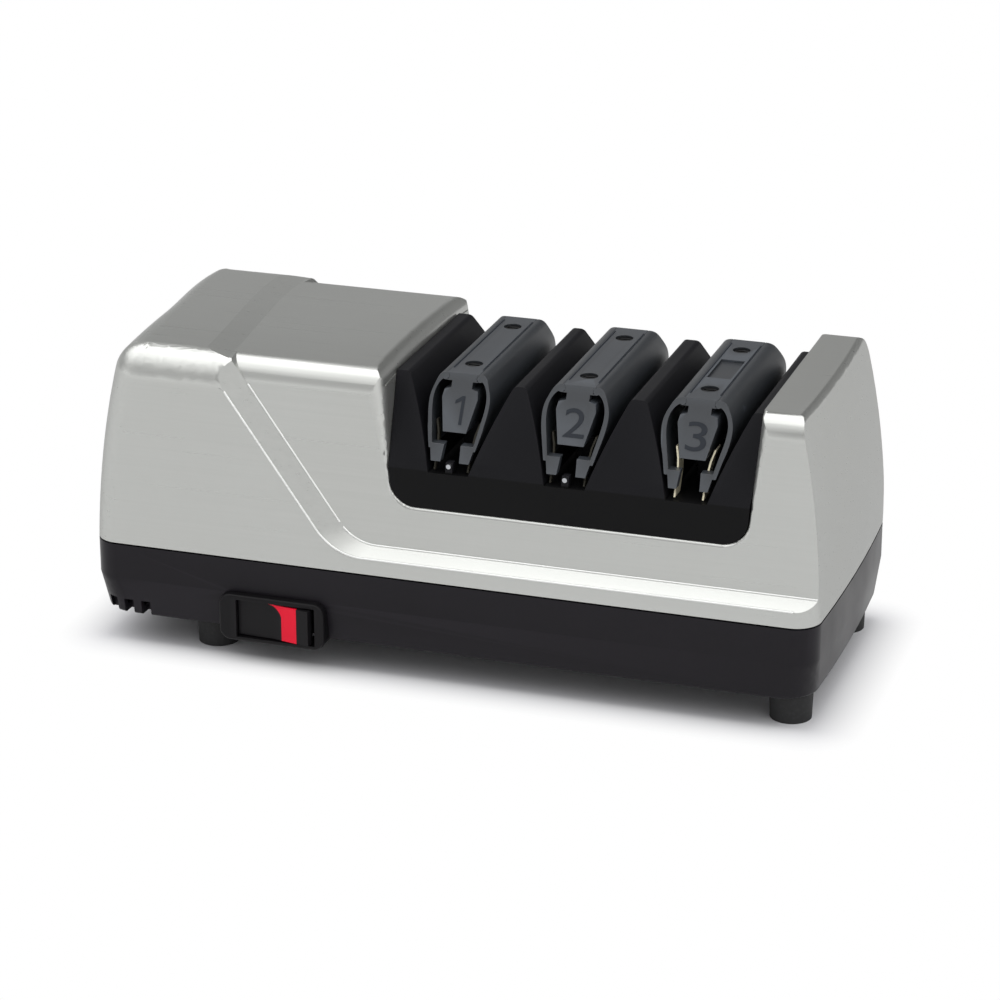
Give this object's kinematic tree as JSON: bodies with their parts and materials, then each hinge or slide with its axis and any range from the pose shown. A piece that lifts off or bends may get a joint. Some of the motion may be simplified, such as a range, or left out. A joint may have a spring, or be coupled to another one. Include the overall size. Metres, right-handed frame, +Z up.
{
  "type": "electric knife sharpener",
  "caption": "Benchtop electric knife sharpener: silver casing over a black base, slanted knife slots beside spring-armed guides, rocker switch and rubber feet.",
  "frame": {"origin": "on the table plane, under the middle of the object's bounding box", "axes": "+X along the length towards the last stage, +Y to the rear, +Z up"},
  "size_m": [0.253, 0.1171, 0.1073],
  "materials": {
    "brushed_silver": "satin, brushed lengthwise",
    "base_black": "satin",
    "insert_black": "satin",
    "bright_steel": "bright",
    "slate_grey": "satin",
    "spring_strip": "bright",
    "black_steel": "matte",
    "switch_black": "satin",
    "marker_red": "satin",
    "foot_rubber": "matte",
    "lamination_steel": "satin",
    "coil_copper": "lacquered",
    "die_cast": "cast",
    "bush_bronze": "sintered",
    "fan_plastic": "moulded",
    "diamond_disc": "abrasive",
    "stropping_disc": "fine abrasive",
    "dressing_stone": "abrasive",
    "magnet_black": "matte"
  },
  "bodies": {
    "housing": {"cover": "brushed_silver", "base_tray": "base_black", "guide_housing": "insert_black", "edge_stop_pins": "bright_steel", "guide_1": "slate_grey", "guide_2": "slate_grey", "guide_3": "slate_grey", "guide_screws": "black_steel", "switch_bezel": "switch_black", "switch_body": "switch_black", "cord_inlet": "foot_rubber", "foot_front_left": "foot_rubber", "foot_front_right": "foot_rubber", "foot_rear_left": "foot_rubber", "foot_rear_right": "foot_rubber", "foot_screws": "bright_steel", "housing_screws": "bright_steel", "motor_stator": "lamination_steel", "field_coils": "coil_copper", "motor_bracket_left": "die_cast", "motor_bracket_right": "die_cast", "motor_bolts": "bright_steel", "shaft_bushes": "bush_bronze", "bearing_bracket": "die_cast", "bracket_screws": "bright_steel", "lever_pin": "bright_steel"},
    "drive_line": {"drive_shaft": "bright_steel", "drive_pins": "bright_steel", "motor_rotor": "lamination_steel", "cooling_fan": "fan_plastic", "disc_spring_1": "bright_steel", "disc_spring_2": "bright_steel", "disc_spring_3": "bright_steel"},
    "rocker": {"switch_rocker": "switch_black", "switch_marker": "marker_red"},
    "lever": {"dressing_lever": "switch_black", "dressing_pads": "dressing_stone"},
    "clean_out": {"clean_out_cover": "base_black", "dust_magnet": "magnet_black"},
    "disc_1_left": {"grinding_disc_1_left": "diamond_disc"},
    "disc_1_right": {"grinding_disc_1_right": "diamond_disc"},
    "disc_2_left": {"honing_disc_2_left": "diamond_disc"},
    "disc_2_right": {"honing_disc_2_right": "diamond_disc"},
    "disc_3_left": {"stropping_disc_3_left": "stropping_disc"},
    "disc_3_right": {"stropping_disc_3_right": "stropping_disc"},
    "arm_1_left": {"guide_1_arm_left": "slate_grey", "guide_1_leaf_left": "spring_strip"},
    "arm_1_right": {"guide_1_arm_right": "slate_grey", "guide_1_leaf_right": "spring_strip"},
    "arm_2_left": {"guide_2_arm_left": "slate_grey", "guide_2_leaf_left": "spring_strip"},
    "arm_2_right": {"guide_2_arm_right": "slate_grey", "guide_2_leaf_right": "spring_strip"},
    "arm_3_left": {"guide_3_arm_left": "slate_grey", "guide_3_leaf_left": "spring_strip"},
    "arm_3_right": {"guide_3_arm_right": "slate_grey", "guide_3_leaf_right": "spring_strip"}
  },
  "joints": [
    {"name": "shaft_spin", "type": "hinge", "parent": "housing", "child": "drive_line", "pos_m": [0, 0, 0.05], "axis": [1, 0, 0], "continuous": true},
    {"name": "disc_1_left_slide", "type": "slide", "parent": "drive_line", "child": "disc_1_left", "axis": [1, 0, 0], "range_m": [0, 0.0012], "stiffness_N_per_m": 1500, "springref_m": -0.002, "deforming": ["disc_spring_1"]},
    {"name": "disc_1_right_slide", "type": "slide", "parent": "drive_line", "child": "disc_1_right", "axis": [-1, 0, 0], "range_m": [0, 0.0012], "stiffness_N_per_m": 1500, "springref_m": -0.002, "deforming": ["disc_spring_1"]},
    {"name": "disc_2_left_slide", "type": "slide", "parent": "drive_line", "child": "disc_2_left", "axis": [1, 0, 0], "range_m": [0, 0.0012], "stiffness_N_per_m": 1500, "springref_m": -0.002, "deforming": ["disc_spring_2"]},
    {"name": "disc_2_right_slide", "type": "slide", "parent": "drive_line", "child": "disc_2_right", "axis": [-1, 0, 0], "range_m": [0, 0.0012], "stiffness_N_per_m": 1500, "springref_m": -0.002, "deforming": ["disc_spring_2"]},
    {"name": "disc_3_left_slide", "type": "slide", "parent": "drive_line", "child": "disc_3_left", "axis": [1, 0, 0], "range_m": [0, 0.0012], "stiffness_N_per_m": 1500, "springref_m": -0.002, "deforming": ["disc_spring_3"]},
    {"name": "disc_3_right_slide", "type": "slide", "parent": "drive_line", "child": "disc_3_right", "axis": [-1, 0, 0], "range_m": [0, 0.0012], "stiffness_N_per_m": 1500, "springref_m": -0.002, "deforming": ["disc_spring_3"]},
    {"name": "arm_1_left_flex", "type": "hinge", "parent": "housing", "child": "arm_1_left", "pos_m": [-0.0056, 0, 0.10135], "axis": [0, -1, 0], "range_deg": [-1, 3], "stiffness_Nm_per_rad": 0.4},
    {"name": "arm_1_right_flex", "type": "hinge", "parent": "housing", "child": "arm_1_right", "pos_m": [0.0062, 0, 0.10135], "axis": [0, 1, 0], "range_deg": [-1, 3], "stiffness_Nm_per_rad": 0.4},
    {"name": "arm_2_left_flex", "type": "hinge", "parent": "housing", "child": "arm_2_left", "pos_m": [0.0339, 0, 0.10135], "axis": [0, -1, 0], "range_deg": [-1, 3], "stiffness_Nm_per_rad": 0.4},
    {"name": "arm_2_right_flex", "type": "hinge", "parent": "housing", "child": "arm_2_right", "pos_m": [0.0457, 0, 0.10135], "axis": [0, 1, 0], "range_deg": [-1, 3], "stiffness_Nm_per_rad": 0.4},
    {"name": "arm_3_left_flex", "type": "hinge", "parent": "housing", "child": "arm_3_left", "pos_m": [0.0745, 0, 0.10135], "axis": [0, -1, 0], "range_deg": [-1, 3], "stiffness_Nm_per_rad": 0.4},
    {"name": "arm_3_right_flex", "type": "hinge", "parent": "housing", "child": "arm_3_right", "pos_m": [0.0863, 0, 0.10135], "axis": [0, 1, 0], "range_deg": [-1, 3], "stiffness_Nm_per_rad": 0.4},
    {"name": "rocker_tilt", "type": "hinge", "parent": "housing", "child": "rocker", "pos_m": [-0.0577, -0.0509, 0.0167], "axis": [0, 0, 1], "range_deg": [0, 14]},
    {"name": "lever_swing", "type": "hinge", "parent": "housing", "child": "lever", "pos_m": [0.0804, 0.04, 0.0284], "axis": [0, 0, 1], "range_deg": [-4, 4], "stiffness_Nm_per_rad": 0.05},
    {"name": "clean_out_slide", "type": "slide", "parent": "housing", "child": "clean_out", "axis": [0, 0, -1], "range_m": [0, 0.008]}
  ]
}
